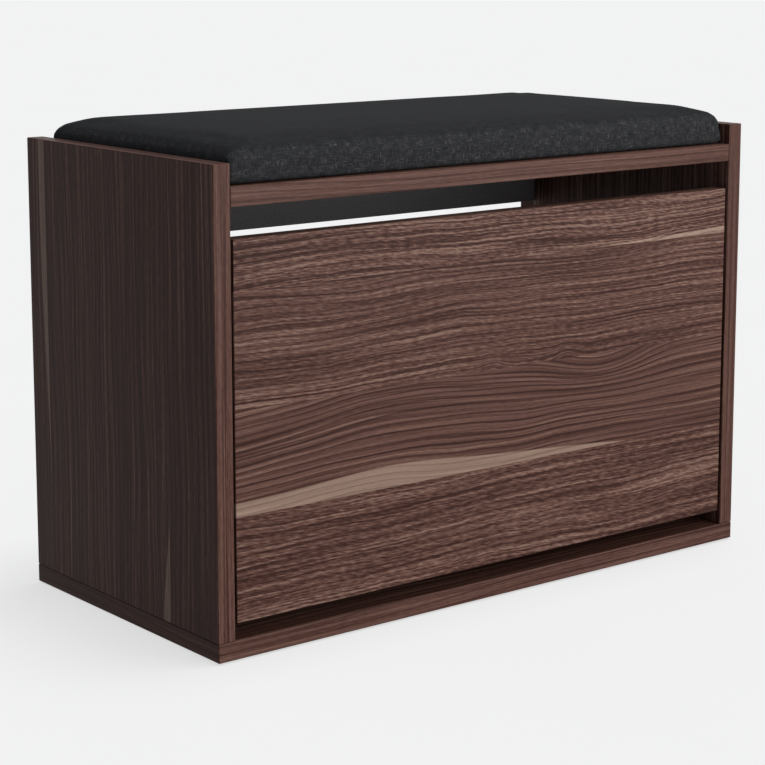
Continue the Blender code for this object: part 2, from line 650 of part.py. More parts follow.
def make_carcass():
    """The fixed boards, their fittings and the cushion; gives the sides, for what is hung between them."""
    base = make_base_board()
    left = make_side_panel("side_panel_left", -1)
    right = make_side_panel("side_panel_right", 1)
    seat = make_seat_board()
    upper_rail = make_back_rail("back_rail_upper", SEAT_UNDER - GAP - UPPER_RAIL_HEIGHT, SEAT_UNDER - GAP)
    lower_rail = make_back_rail("back_rail_lower", BASE_TOP + GAP, BASE_TOP + GAP + LOWER_RAIL_HEIGHT)
    sides = (("left", -1, left), ("right", 1, right))
    make_base_screws_and_dowels(base, sides)
    seat_middle = (SEAT_UNDER + SEAT_TOP) / 2
    rail_middle = (RAIL_FRONT + RAIL_BACK) / 2
    end = INNER - GAP
    for side_name, sign, side in sides:
        for row, y in (("front", FRONT + CAM_EDGE_DISTANCE), ("back", BACK - CAM_EDGE_DISTANCE)):
            make_cam_fitting(f"seat_{side_name}_{row}", seat, side, Vector((sign * end, y, seat_middle)),
                             sign, (0, 0, -1))
        upper = Vector((sign * end, rail_middle, SEAT_UNDER - GAP - UPPER_RAIL_HEIGHT / 2))
        make_cam_fitting(f"upper_rail_{side_name}", upper_rail, side, upper, sign, (0, 1, 0))
        lower = Vector((sign * end, rail_middle, BASE_TOP + GAP + LOWER_RAIL_HEIGHT / 2))
        make_cam_fitting(f"lower_rail_{side_name}", lower_rail, side, lower, sign, (0, 1, 0))
    make_glides(base)
    make_cushion(seat)
    return sides


def make_tilting_front(sides):
    """What turns about the pivot, and the bushes and stop pins it turns on and against."""
    pivot = bpy.data.objects.new("door_pivot", None)
    pivot.location = PIVOT
    PARTS.objects.link(pivot)
    door = make_door(pivot)
    for side_name, sign, side in sides:
        make_tilt_plate(f"tilt_plate_{side_name}", sign, door, pivot)
        make_pivot(side_name, sign, side, pivot)
        make_stop_pin(side_name, sign, side)
    make_rack(pivot)


clear_scene()
PARTS = new_collection("storage_bench")
CUTTERS = new_collection("cutters")
make_materials()
make_tilting_front(make_carcass())
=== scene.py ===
"""Looks of the storage bench: walnut laminate, a padded linen seat and a plain studio."""

import json
import math
from collections import namedtuple

import bmesh
import bpy
from mathutils import Euler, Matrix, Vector


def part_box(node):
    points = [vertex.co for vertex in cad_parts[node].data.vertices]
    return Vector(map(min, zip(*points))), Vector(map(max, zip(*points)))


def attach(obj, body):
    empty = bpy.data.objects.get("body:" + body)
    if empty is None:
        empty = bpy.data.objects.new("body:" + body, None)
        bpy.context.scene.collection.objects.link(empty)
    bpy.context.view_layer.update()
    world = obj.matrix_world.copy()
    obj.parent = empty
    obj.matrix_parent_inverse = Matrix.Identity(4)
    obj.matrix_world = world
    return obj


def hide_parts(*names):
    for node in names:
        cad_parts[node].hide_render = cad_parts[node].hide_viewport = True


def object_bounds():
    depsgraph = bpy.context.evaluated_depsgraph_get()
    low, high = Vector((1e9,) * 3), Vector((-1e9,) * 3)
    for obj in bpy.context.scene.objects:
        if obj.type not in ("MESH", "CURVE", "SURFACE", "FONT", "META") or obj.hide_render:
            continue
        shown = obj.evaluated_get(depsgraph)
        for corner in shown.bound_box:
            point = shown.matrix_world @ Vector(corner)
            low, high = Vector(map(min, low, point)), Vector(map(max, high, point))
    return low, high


MM = 0.001

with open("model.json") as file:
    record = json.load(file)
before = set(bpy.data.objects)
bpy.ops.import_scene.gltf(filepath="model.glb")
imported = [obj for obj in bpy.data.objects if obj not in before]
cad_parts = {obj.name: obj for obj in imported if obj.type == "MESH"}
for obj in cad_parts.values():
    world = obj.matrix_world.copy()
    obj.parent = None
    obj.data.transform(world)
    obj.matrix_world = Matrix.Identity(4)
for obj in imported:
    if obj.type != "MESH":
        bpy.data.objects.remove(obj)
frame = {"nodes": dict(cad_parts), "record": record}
nodes = frame["nodes"]
cad_box = [list(corner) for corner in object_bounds()]

BENCH_HIGH = Vector(cad_box[1])
DOOR_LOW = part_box("door_panel")[0]
SIDE_MIDDLE = -sum(corner.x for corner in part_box("side_panel_left")) / 2    # of its thickness
CUSHION_LOW, CUSHION_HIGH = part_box("seat_cushion")
CUSHION_BOARD_LOW, CUSHION_BOARD_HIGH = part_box("cushion_board")
SHARP_EDGE = math.radians(35)           # a board's edge that turns more than this stays sharp

# Studio
CAMERA_PLACE = (-1.384, -1.733, 0.654)
CAMERA_HEADING = math.radians(38.44)    # to the right of straight back
CAMERA_DROP = math.radians(9.34)        # below level
CAMERA_LENS = 101.7                     # on the usual 36 mm sensor
CAMERA_SHIFT = (-0.0104, -0.12)
FLOOR_SIZE = 60.0

# Cushion
PAD_SHRINK = 0.5 * MM           # the form that is blown up is this much smaller all round
PAD_CORNER = 3 * MM             # in plan, at the bottom
PAD_CORNER_GROWTH = 1.1         # what each millimetre inwards adds to that corner
PAD_LEAST_SIDE = 0.5 * MM       # half of the straight stretch left between two corners
PAD_SHOULDER = 13 * MM          # how far in the rounding of the top reaches
PAD_RISE = 16 * MM              # how high that rounding is
PAD_CROWN = 6 * MM              # the middle over the rim
PAD_CROWN_RINGS = (0.15, 0.35, 0.6, 0.85)       # shares of the way from shoulder to middle
PAD_SWELL = 3 * MM              # no point moves further than this
PAD_PROUD = 1.5 * MM            # the crown may rise this far over the plain cushion
PAD_VOXEL = 5 * MM
PAD_FRAMES = 20
PAD_SHARP_EDGE = math.radians(50)
QUARTER_TURN = range(0, 91, 15)         # degrees, along a rounded corner
RECESS_GAP = 0.3 * MM           # round the cushion's board
RECESS_DROP = 5 * MM            # how far its cutter reaches below the cushion


class Graph:
    """A material whose nodes are made by short calls. A value is a number, a tuple or a socket."""

    INPUTS = {
        "roughness": "Roughness",
        "metallic": "Metallic",
        "specular": "Specular IOR Level",
        "sheen": "Sheen Weight",
        "sheen_roughness": "Sheen Roughness",
        "glow": "Emission Strength",
    }

    def __init__(self, name):
        self.material = bpy.data.materials.new(name)
        self.material.use_nodes = True
        self.tree = self.material.node_tree
        self.shader = self.tree.nodes["Principled BSDF"]
        coordinates = self.node("ShaderNodeTexCoord")
        self.place = coordinates.outputs["Object"]
        self.normal = coordinates.outputs["Normal"]

    def node(self, kind, **settings):
        node = self.tree.nodes.new(kind)
        for key, value in settings.items():
            setattr(node, key, value)
        return node

    def feed(self, socket, value):
        if isinstance(value, bpy.types.NodeSocket):
            self.tree.links.new(value, socket)
        else:
            socket.default_value = value

    def math(self, operation, *values):
        node = self.node("ShaderNodeMath", operation=operation)
        for socket, value in zip(node.inputs, values):
            self.feed(socket, value)
        return node.outputs[0]

    def add(self, *values):
        total = values[0]
        for value in values[1:]:
            total = self.math("ADD", total, value)
        return total

    def times(self, *values):
        product = values[0]
        for value in values[1:]:
            product = self.math("MULTIPLY", product, value)
        return product

    def minus(self, a, b):
        return self.math("SUBTRACT", a, b)

    def size(self, value):
        return self.math("ABSOLUTE", value)

    def over(self, value, limit):
        """1 where value is over limit, else 0."""
        return self.math("GREATER_THAN", value, limit)

    def split(self, vector):
        node = self.node("ShaderNodeSeparateXYZ")
        self.feed(node.inputs[0], vector)
        return node.outputs

    def vector(self, x, y, z):
        node = self.node("ShaderNodeCombineXYZ")
        for socket, value in zip(node.inputs, (x, y, z)):
            self.feed(socket, value)
        return node.outputs[0]

    def noise(self, x, y, z, detail=2.0, roughness=0.5):
        """Noise from about 0.2 to 0.8 with one cell to each unit of x, y and z."""
        node = self.node("ShaderNodeTexNoise")
        self.feed(node.inputs["Vector"], self.vector(x, y, z))
        node.inputs["Scale"].default_value = 1
        node.inputs["Detail"].default_value = detail
        node.inputs["Roughness"].default_value = roughness
        return node.outputs["Fac"]

    def cells(self, *counts, detail=2.0, roughness=0.5):
        """Noise with so many cells to the metre along x, y and z."""
        place = [self.times(axis, count) for axis, count in zip(self.split(self.place), counts)]
        return self.noise(*place, detail, roughness)

    def blend(self, fac, a, b):
        """a where fac is 0, b where it is 1."""
        return self.add(a, self.times(self.minus(b, a), fac))

    def swing(self, noise, size):
        """A noise made to run evenly either side of zero."""
        return self.times(self.minus(noise, 0.5), size)

    def ramp(self, fac, stops):
        node = self.node("ShaderNodeValToRGB")
        elements = node.color_ramp.elements
        while len(elements) < len(stops):
            elements.new(1)
        for element, (position, colour) in zip(elements, stops):
            element.position = position
            element.color = (*colour, 1)
        self.feed(node.inputs[0], fac)
        return node.outputs[0]

    def step(self, value, start, end):
        """0 before start, 1 after end, smooth between."""
        node = self.node("ShaderNodeMapRange", interpolation_type="SMOOTHSTEP")
        for socket, number in zip(node.inputs, (value, start, end, 0.0, 1.0)):
            self.feed(socket, number)
        return node.outputs[0]

    def fall(self, value, start, end):
        """1 before start, 0 after end, smooth between."""
        return self.minus(1.0, self.step(value, start, end))

    def mix(self, fac, a, b):
        node = self.node("ShaderNodeMix", data_type="RGBA")
        self.feed(node.inputs[0], fac)
        for socket, value in zip(node.inputs[6:8], (a, b)):
            if isinstance(value, tuple):
                value = (*value, 1)
            self.feed(socket, value)
        return node.outputs[2]

    def bump(self, height, depth, strength):
        node = self.node("ShaderNodeBump")
        node.inputs["Strength"].default_value = strength
        node.inputs["Distance"].default_value = depth
        self.feed(node.inputs["Height"], height)
        self.tree.links.new(node.outputs[0], self.shader.inputs["Normal"])

    def surface(self, colour, **values):
        """Feeds the shader's colour, and other inputs by their short names."""
        self.feed(self.shader.inputs["Base Color"], colour)
        for name, value in values.items():
            self.feed(self.shader.inputs[self.INPUTS[name]], value)


# Walnut laminate

WALNUT_TONES = (
    (0.00, (0.0160, 0.0058, 0.0044)),
    (0.28, (0.0275, 0.0112, 0.0086)),
    (0.50, (0.0445, 0.0212, 0.0160)),
    (0.72, (0.0640, 0.0340, 0.0262)),
    (1.00, (0.1050, 0.0640, 0.0500)),
)
SAPWOOD_TONES = ((0.0, (0.080, 0.052, 0.040)), (1.0, (0.158, 0.108, 0.084)))
RIM_HIGHLIGHT_TONE = SAPWOOD_TONES[0][1]
RIM_HIGHLIGHT_SHARE = 0.45           # how much of it is painted on the rounded edges as a painted highlight
FLAT_FACE = 0.7             # a face belongs to the axis whose part of its normal is over this
EDGE_CONTRAST = 0.65        # of the tones on a board's narrow edges
SAWN_END_PAINTED_SHADE = -0.24           # painted shade on the sawn ends of the seat and base boards

# A layer of the figure has so many cells to the metre along the grain and across it, a size, and
# a number that sets its noise apart from the others. The first three bend the lines, by metres.
Layer = namedtuple("Layer", "along across size seed")
SWEEP = Layer(3.5, 8, 24 * MM, 0)
RIPPLE = Layer(14, 20, 5 * MM, 11)
QUIVER = Layer(90, 70, 0.9 * MM, 23)
BANDS = Layer(1.6, 42, 0.5, 31)
STRIPES = Layer(2.0, 210, 0.8, 43)
STROKES = Layer(5, 500, 1.5, 59)
HAIRS = Layer(115, 720, 1.3, 67)
RING_WANDER = Layer(1.2, 14, 6, 0)      # in rings
RINGS = 125                 # to the metre
RING_SHARPNESS = 4          # a ring darkens towards its end by this power
STRAIGHTENING = 0.9         # how much of the bends a straight board loses

# The front's planks, from its lower left corner. A hump has a centre, a width and a height.
Hump = namedtuple("Hump", "centre width height")
DOOR_JOINTS = (99 * MM, 197 * MM, 306 * MM)
DOOR_RISE = Hump(180 * MM, 110 * MM, 9 * MM)
DOOR_DIP = Hump(450 * MM, 70 * MM, -20 * MM)
DIP_REACH = (135 * MM, 190 * MM)
DOOR_CUSPS = (Hump(306 * MM, 16 * MM, 7 * MM), Hump(406 * MM, 16 * MM, 7 * MM))
CUSP_REACH = 26 * MM        # over the joint that the cusps stand on
WIDE_SHADE = Hump(470 * MM, 80 * MM, -0.32)
WIDE_SHADE_END = (3 * MM, 8 * MM)       # below the upper joint
THIN_SHADE = Hump(220 * MM, 120 * MM, -0.32)
THIN_SHADE_END = (1 * MM, 3 * MM)
LEFT_STREAK_WIDTH = 12.5 * MM
LEFT_STREAK_TAPER = 2.04    # one over its length in metres
LEFT_STREAK_BLUNTNESS = 4   # the power of its taper
LEFT_STREAK_EDGE = (-0.6 * MM, 0.8 * MM)
RIGHT_STREAK_START = 435 * MM
RIGHT_STREAK_SLOPE = 0.034
RIGHT_STREAK_EDGE = (-0.5 * MM, 0.6 * MM)

# The sides' planks, from the back, and where their streaks taper, from the floor
SIDE_JOINTS = (33 * MM, 250 * MM)
SIDE_CALM = 0.6
BACK_STREAK_WIDTH = 11 * MM
BACK_STREAK_TAPER = (70 * MM, 380 * MM)
LOW_STREAK_WIDTH = 12 * MM
LOW_STREAK_TAPER = (20 * MM, 130 * MM)
SIDE_STREAK_EDGE = (-0.5 * MM, 0.8 * MM)
SIDE_STREAK_STRENGTH = 0.7


def board_places(g, long, wide, thin):
    """Where the grain runs on each face of a board, along and across it, and 1 on its edges.

    long, wide and thin are the axes of its grain, its width and its thickness."""
    place = g.split(g.place)
    normal = g.split(g.normal)
    on_face = g.over(g.size(normal[thin]), FLAT_FACE)
    on_end = g.over(g.size(normal[long]), FLAT_FACE)
    along = g.blend(on_end, place[long], place[wide])
    across = g.blend(on_face, place[thin], place[wide])
    return along, across, g.minus(1.0, on_face)


def layer_noise(g, layer, along, across, seed, detail=2.0):
    place = (g.times(along, layer.along), g.times(across, layer.across), g.add(seed, layer.seed))
    return g.noise(*place, detail)


def layer_swing(g, layer, along, across, seed):
    return g.swing(layer_noise(g, layer, along, across, seed), layer.size)


def walnut_grain(g, along, across, seed, calm, straight=0.0):
    """Tone of walnut, mostly from 0 to 1, and its fibres.

    calm is 1 where its lines are long and smooth, straight is 1 where they don't wander."""
    lively = g.minus(1.0, calm)
    sweep = layer_swing(g, SWEEP, along, across, seed)
    ripple = layer_swing(g, RIPPLE, along, across, seed)
    quiver = layer_swing(g, QUIVER, along, across, seed)
    rough = g.times(g.add(ripple, quiver), g.blend(lively, 0.2, 1.0))
    bent = g.minus(1.0, g.times(straight, STRAIGHTENING))
    line = g.add(across, g.times(g.add(sweep, rough), bent))

    bands = layer_swing(g, BANDS, along, line, seed)
    stripes = layer_swing(g, STRIPES, along, line, seed)
    strokes = layer_noise(g, STROKES, along, line, seed, detail=1)
    slanted = g.add(line, g.times(along, g.blend(lively, 0.01, 0.09)))
    hairs = layer_noise(g, HAIRS, along, slanted, seed, detail=1)
    wander = layer_swing(g, RING_WANDER, along, line, seed)
    ring = g.math("FRACT", g.add(g.times(line, RINGS), wander))
    ring_end = g.math("POWER", ring, RING_SHARPNESS)

    tone = g.add(
        0.5,
        bands,
        stripes,
        g.times(g.swing(strokes, STROKES.size), g.blend(lively, 0.7, 1.0)),
        g.times(g.swing(hairs, HAIRS.size), g.blend(lively, 0.2, 1.0)),
        g.times(ring_end, g.blend(lively, -0.66, -0.36)),
    )
    return tone, g.add(strokes, hairs)


def retone(g, tone, contrast, level):
    """A tone with its contrast changed and its middle moved to level."""
    return g.add(g.times(g.minus(tone, 0.5), contrast), level)


def finish_walnut(g, tone, fibres, sapwood=0.0):
    """Colours a tone, paints a pale highlight on the rounded edges, and sinks the pores."""
    colour = g.mix(sapwood, g.ramp(tone, WALNUT_TONES), g.ramp(tone, SAPWOOD_TONES))
    nx, ny, nz = (g.size(part) for part in g.split(g.normal))
    flat = g.math("MAXIMUM", g.math("MAXIMUM", nx, ny), nz)
    # Painted highlight: the rounded edges are paled towards a light tone, standing in for the light
    # they catch.
    rim_highlight = g.fall(flat, 0.75, 0.95)
    colour = g.mix(g.times(rim_highlight, RIM_HIGHLIGHT_SHARE), colour, RIM_HIGHLIGHT_TONE)
    g.surface(colour, roughness=g.add(g.swing(fibres, 0.15), 0.32), specular=0.05)
    g.bump(fibres, depth=0.15 * MM, strength=0.4)
    return g.material


def bell(g, value, hump):
    """A smooth hump, level far from its centre."""
    away = g.math("DIVIDE", g.minus(value, hump.centre), hump.width)
    return g.times(g.math("EXPONENT", g.times(away, away, -1.0)), hump.height)


def door_walnut():
    """Four planks with level joints; the third flows in long lines over a pale sapwood edge."""
    g = Graph("door_walnut")
    place = g.split(g.place)
    along, across, edge = board_places(g, 0, 2, 1)
    right = g.minus(place[0], DOOR_LOW.x)
    up = g.minus(place[2], DOOR_LOW.z)
    over = [g.over(up, joint) for joint in DOOR_JOINTS]
    third = g.minus(over[0], over[1])
    second = g.minus(over[1], over[2])
    seed = g.add(2.3, g.times(over[0], 3.7), g.times(over[1], 2.9), g.times(over[2], 4.1), edge)
    calm = g.add(g.times(third, 0.9), g.times(second, 0.15))

    rise = bell(g, right, DOOR_RISE)
    dip = g.times(bell(g, right, DOOR_DIP), g.step(up, *DIP_REACH))
    cusps = g.times(
        g.add(*(bell(g, right, cusp) for cusp in DOOR_CUSPS)),
        g.fall(up, DOOR_JOINTS[1], DOOR_JOINTS[1] + CUSP_REACH),
    )
    across = g.minus(across, g.add(g.times(third, g.add(rise, dip)), g.times(second, cusps)))
    tone, fibres = walnut_grain(g, along, across, seed, calm, edge)
    below = g.minus(DOOR_JOINTS[2], up)
    wide_shade = g.times(bell(g, right, WIDE_SHADE), g.fall(below, *WIDE_SHADE_END))
    thin_shade = g.times(bell(g, right, THIN_SHADE), g.fall(below, *THIN_SHADE_END))
    tone = g.add(tone, g.times(second, g.add(wide_shade, thin_shade)))
    tone = retone(g, tone, g.blend(over[2], 1.0, 1.3), g.blend(over[2], 0.56, 0.63))

    taper = g.math("POWER", g.times(right, LEFT_STREAK_TAPER), LEFT_STREAK_BLUNTNESS)
    left_top = g.add(DOOR_JOINTS[0], g.times(g.minus(1.0, taper), LEFT_STREAK_WIDTH), rise)
    left_streak = g.times(third, g.step(g.minus(left_top, up), *LEFT_STREAK_EDGE))
    right_width = g.times(g.minus(right, RIGHT_STREAK_START), RIGHT_STREAK_SLOPE)
    right_top = g.add(DOOR_JOINTS[2], right_width)
    right_streak = g.times(over[2], g.step(g.minus(right_top, up), *RIGHT_STREAK_EDGE))
    return finish_walnut(g, tone, fibres, g.math("MAXIMUM", left_streak, right_streak))


def side_walnut(name, seed):
    """Upright planks; two of their edges are pale and taper to a point."""
    g = Graph(name)
    x, y, z = g.split(g.place)
    along, across, edge = board_places(g, 2, 1, 0)
    from_back = g.minus(BENCH_HIGH.y, y)
    over = [g.over(from_back, joint) for joint in SIDE_JOINTS]
    inner = g.math("LESS_THAN", g.size(x), SIDE_MIDDLE)
    seed = g.add(
        seed,
        g.times(over[0], 3.1),
        g.times(over[1], 5.3),
        g.times(inner, 2.2),
        g.times(edge, 7.7),
    )
    tone, fibres = walnut_grain(g, along, across, seed, SIDE_CALM, g.blend(edge, 0.45, 1.0))
    # Painted light and shade: the outer faces are toned darker, standing in for shade on the sides,
    # and the inner faces lighter, standing in for light inside the bench.
    on_faces = retone(g, tone, 1.05, g.blend(inner, 0.32, 0.54))
    tone = g.blend(edge, on_faces, retone(g, tone, EDGE_CONTRAST, 0.53))

    back_width = g.times(g.step(z, *BACK_STREAK_TAPER), BACK_STREAK_WIDTH)
    back_place = g.add(g.minus(from_back, SIDE_JOINTS[0]), back_width)
    back_streak = g.times(g.minus(1.0, over[0]), g.step(back_place, *SIDE_STREAK_EDGE))
    low_width = g.times(g.fall(z, *LOW_STREAK_TAPER), LOW_STREAK_WIDTH)
    low_place = g.add(g.minus(from_back, SIDE_JOINTS[1]), low_width)
    low_streak = g.times(g.minus(over[0], over[1]), g.step(low_place, *SIDE_STREAK_EDGE))
    streaks = g.math("MAXIMUM", back_streak, low_streak)
    sapwood = g.times(streaks, g.minus(1.0, edge), SIDE_STREAK_STRENGTH)
    return finish_walnut(g, tone, fibres, sapwood)


def level_walnut(name, seed, edge_level):
    """Grain along the bench's width, for the seat and base boards, with painted shade on the sawn
    ends.
    """
    g = Graph(name)
    along, across, edge = board_places(g, 0, 1, 2)
    tone, fibres = walnut_grain(g, along, across, g.add(seed, g.times(edge, 7.7)), 0.7, edge)
    tone = g.blend(edge, tone, retone(g, tone, EDGE_CONTRAST, edge_level))
    # Painted shade: the sawn ends, which face sideways, are toned darker.
    end = g.over(g.size(g.split(g.normal)[0]), FLAT_FACE)
    return finish_walnut(g, g.add(tone, g.times(end, SAWN_END_PAINTED_SHADE)), fibres)


# Other materials

CLOTH_SHOULDER = 14 * MM        # under the top, where the cloth's threads turn over
THREAD_PITCH = 1.1 * MM
THREAD_DEPTH = 0.35 * MM
SLUBS = (130, 800)              # cells to the metre along a thread and across it
LINEN_PATCHES = 110             # cells to the metre
LINEN_TONES = (
    (0.34, (0.0048, 0.0052, 0.0058)),
    (0.48, (0.0086, 0.0091, 0.0100)),
    (0.60, (0.0150, 0.0153, 0.0165)),
    (0.74, (0.0330, 0.0332, 0.0350)),
)


def charcoal_board():
    g = Graph("charcoal_board")
    grain = g.cells(400, 400, 400, detail=3, roughness=0.6)
    colour = g.ramp(grain, ((0.3, (0.092, 0.089, 0.091)), (0.7, (0.135, 0.131, 0.134))))
    g.surface(colour, roughness=0.55, specular=0.2)
    g.bump(grain, depth=0.06 * MM, strength=0.4)
    return g.material


def raw_board(name, dark, light):
    g = Graph(name)
    grain = g.cells(12, 260, 600, detail=3, roughness=0.6)
    g.surface(g.ramp(grain, ((0.3, dark), (0.7, light))), roughness=0.7)
    g.bump(grain, depth=0.1 * MM, strength=0.4)
    return g.material


def black_plastic():
    g = Graph("black_plastic")
    texture = g.cells(1500, 1500, 1500)
    colour = g.ramp(texture, ((0.2, (0.012, 0.012, 0.013)), (0.8, (0.022, 0.022, 0.024))))
    g.surface(colour, roughness=0.48)
    g.bump(texture, depth=0.05 * MM, strength=0.5)
    return g.material


def zinc():
    g = Graph("zinc")
    mottle = g.cells(700, 700, 700, detail=3, roughness=0.6)
    colour = g.ramp(mottle, ((0.25, (0.42, 0.43, 0.44)), (0.75, (0.62, 0.62, 0.63))))
    g.surface(colour, roughness=0.36, metallic=1.0)
    g.bump(mottle, depth=0.03 * MM, strength=0.4)
    return g.material


def linen():
    """Charcoal cloth in plain weave, with painted shade on top: slubs both ways, threads that wrap
    over the shoulders."""
    g = Graph("charcoal_linen")
    x, y, z = g.split(g.place)
    nx, ny, nz = (g.size(part) for part in g.split(g.normal))
    middle = (CUSHION_LOW + CUSHION_HIGH) / 2
    side_height = g.math("MINIMUM", z, CUSHION_HIGH.z - CLOTH_SHOULDER)
    on_end = g.over(nx, ny)
    turn_x = g.math("SIGN", g.minus(middle.x, x))
    turn_y = g.math("SIGN", g.minus(middle.y, y))
    p = g.add(x, g.times(side_height, turn_x, on_end))
    q = g.add(y, g.times(side_height, turn_y, g.minus(1.0, on_end)))
    long, short = SLUBS
    weft = g.noise(g.times(p, long), g.times(q, short), 3.0, detail=1)
    warp = g.noise(g.times(p, short), g.times(q, long), 9.0, detail=1)
    slubs = g.math("MAXIMUM", weft, warp)
    patches = g.noise(g.times(p, LINEN_PATCHES), g.times(q, LINEN_PATCHES), 5.0)
    # Painted shade: the up-facing top is toned darker, and the sides a little lighter.
    top = g.step(nz, 0.35, 0.99)
    tone = g.add(g.times(slubs, 0.9), g.swing(patches, 0.28), g.blend(top, 0.015, -0.12))
    g.surface(
        g.ramp(tone, LINEN_TONES),
        roughness=0.92,
        specular=0.08,
        sheen=0.008,
        sheen_roughness=0.5,
    )
    thread = 2 * math.pi / THREAD_PITCH
    weave = g.times(g.math("SINE", g.times(p, thread)), g.math("SINE", g.times(q, thread)))
    g.bump(g.add(slubs, g.times(weave, 0.25)), depth=THREAD_DEPTH, strength=0.8)
    return g.material


def floor_paint():
    """Pale paint that glows a little, so that the floor keeps an even tone."""
    g = Graph("studio_floor")
    speckle = g.cells(3, 3, 1)
    colour = g.ramp(speckle, ((0.0, (0.175, 0.175, 0.175)), (1.0, (0.185, 0.185, 0.185))))
    g.surface(colour, roughness=0.9, specular=0.0, glow=0.63)
    g.shader.inputs["Emission Color"].default_value = (1, 1, 1, 1)
    return g.material


def paint_frame():
    """Gives every CAD node the material of its slot, or one of its own."""
    by_slot = {
        "dark_board": charcoal_board(),
        "plywood": raw_board("plywood", (0.33, 0.21, 0.11), (0.52, 0.37, 0.22)),
        "beech": raw_board("beech", (0.46, 0.30, 0.16), (0.60, 0.43, 0.26)),
        "black_plastic": black_plastic(),
        "zinc": zinc(),
        "fabric": linen(),
    }
    own = {
        "door_panel": door_walnut(),
        "side_panel_left": side_walnut("side_walnut_left", 17.3),
        "side_panel_right": side_walnut("side_walnut_right", 31.0),
        "seat_board": level_walnut("seat_walnut", 71.0, 0.62),
        "base_board": level_walnut("base_walnut", 93.0, 0.52),
    }
    slot_of = {part["node"]: part["material_slot"] for part in frame["record"]["subparts"]}
    for name, obj in nodes.items():
        obj.data.materials.clear()
        obj.data.materials.append(own.get(name) or by_slot[slot_of[name]])
    return by_slot


def soften_shading():
    """Round pieces and rounded edges shade smoothly, flat faces stay flat."""
    for obj in nodes.values():
        obj.data.shade_smooth()
        obj.data.set_sharp_from_angle(angle=SHARP_EDGE)
        normals = obj.modifiers.new("even_faces", "WEIGHTED_NORMAL")
        normals.keep_sharp = True


# Cushion

def box_mesh(low, high):
    bm = bmesh.new()
    bmesh.ops.create_cube(bm, size=1)
    bmesh.ops.scale(bm, verts=bm.verts, vec=high - low)
    bmesh.ops.translate(bm, verts=bm.verts, vec=(low + high) / 2)
    return bm


def add_mesh(name, bm):
    mesh = bpy.data.meshes.new(name)
    bm.to_mesh(mesh)
    bm.free()
    obj = bpy.data.objects.new(name, mesh)
    bpy.context.scene.collection.objects.link(obj)
    return obj


def apply_modifiers(obj):
    """Replaces obj's mesh by what its modifiers make of it."""
    graph = bpy.context.evaluated_depsgraph_get()
    mesh = bpy.data.meshes.new_from_object(obj.evaluated_get(graph))
    obj.modifiers.clear()
    obj.data = mesh


def pad_ring(inset, z):
    """Points of the cushion's outline, drawn in by inset, at height z."""
    half_x = CUSHION_HIGH.x - PAD_SHRINK - inset
    half_y = CUSHION_HIGH.y - PAD_SHRINK - inset
    corner = min(PAD_CORNER + PAD_CORNER_GROWTH * inset, half_y - PAD_LEAST_SIDE)
    points = []
    for quarter, (sign_x, sign_y) in enumerate(((1, 1), (-1, 1), (-1, -1), (1, -1))):
        for turn in QUARTER_TURN:
            angle = math.radians(90 * quarter + turn)
            x = sign_x * (half_x - corner) + corner * math.cos(angle)
            y = sign_y * (half_y - corner) + corner * math.sin(angle)
            points.append((x, y, z))
    return points


def pad_form():
    """The foam under the cloth: upright sides, round shoulders and a crowned top."""
    half_y = CUSHION_HIGH.y - PAD_SHRINK
    shoulder_top = CUSHION_HIGH.z - PAD_SHRINK - PAD_CROWN
    rings = [pad_ring(0, CUSHION_LOW.z)]
    insets = [PAD_SHOULDER * (1 - math.cos(math.radians(turn))) for turn in QUARTER_TURN]
    insets += [PAD_SHOULDER + (half_y - PAD_SHOULDER) * share for share in PAD_CROWN_RINGS]
    for inset in insets:
        turn = 1 - min(inset / PAD_SHOULDER, 1)
        rise = PAD_RISE * math.sqrt(1 - turn * turn)
        crown = PAD_CROWN * (1 - (1 - inset / half_y) ** 2)
        rings.append(pad_ring(inset, shoulder_top - PAD_RISE + rise + crown))
    bm = bmesh.new()
    loops = [[bm.verts.new(point) for point in ring] for ring in rings]
    count = len(loops[0])
    for below, above in zip(loops, loops[1:]):
        for i in range(count):
            j = (i + 1) % count
            bm.faces.new((below[i], below[j], above[j], above[i]))
    bm.faces.new(list(reversed(loops[0])))
    bm.faces.new(loops[-1])
    return add_mesh("cushion_cover", bm)


def add_cloth(pad):
    """Cloth blown up over the form, held where it is stapled under the board."""
    held = pad.vertex_groups.new(name="held")
    low = [v.index for v in pad.data.vertices if v.co.z < CUSHION_LOW.z + PAD_VOXEL]
    held.add(low, 1.0, "REPLACE")
    cloth = pad.modifiers.new("cloth", "CLOTH")
    settings = cloth.settings
    settings.quality = 6
    settings.mass = 0.3
    settings.tension_stiffness = 12
    settings.compression_stiffness = 12
    settings.bending_stiffness = 1.5
    settings.use_pressure = True
    settings.uniform_pressure_force = 4.0
    settings.vertex_group_mass = held.name
    settings.effector_weights.gravity = 0
    cloth.collision_settings.use_collision = False
    cloth.point_cache.frame_start = 1
    cloth.point_cache.frame_end = PAD_FRAMES


def run_cloth(pad):
    add_cloth(pad)
    for step in range(1, PAD_FRAMES + 1):
        bpy.context.scene.frame_set(step)
    apply_modifiers(pad)
    bpy.context.scene.frame_set(1)


def cap_swell(pad, rest):
    """Holds each point near its place in rest, and inside the cushion's box."""
    highest = CUSHION_HIGH + Vector((0, 0, PAD_PROUD))
    for vertex, start in zip(pad.data.vertices, rest):
        move = vertex.co - start
        if move.length > PAD_SWELL:
            move *= PAD_SWELL / move.length
        for axis in range(3):
            vertex.co[axis] = min(max(start[axis] + move[axis], CUSHION_LOW[axis]), highest[axis])


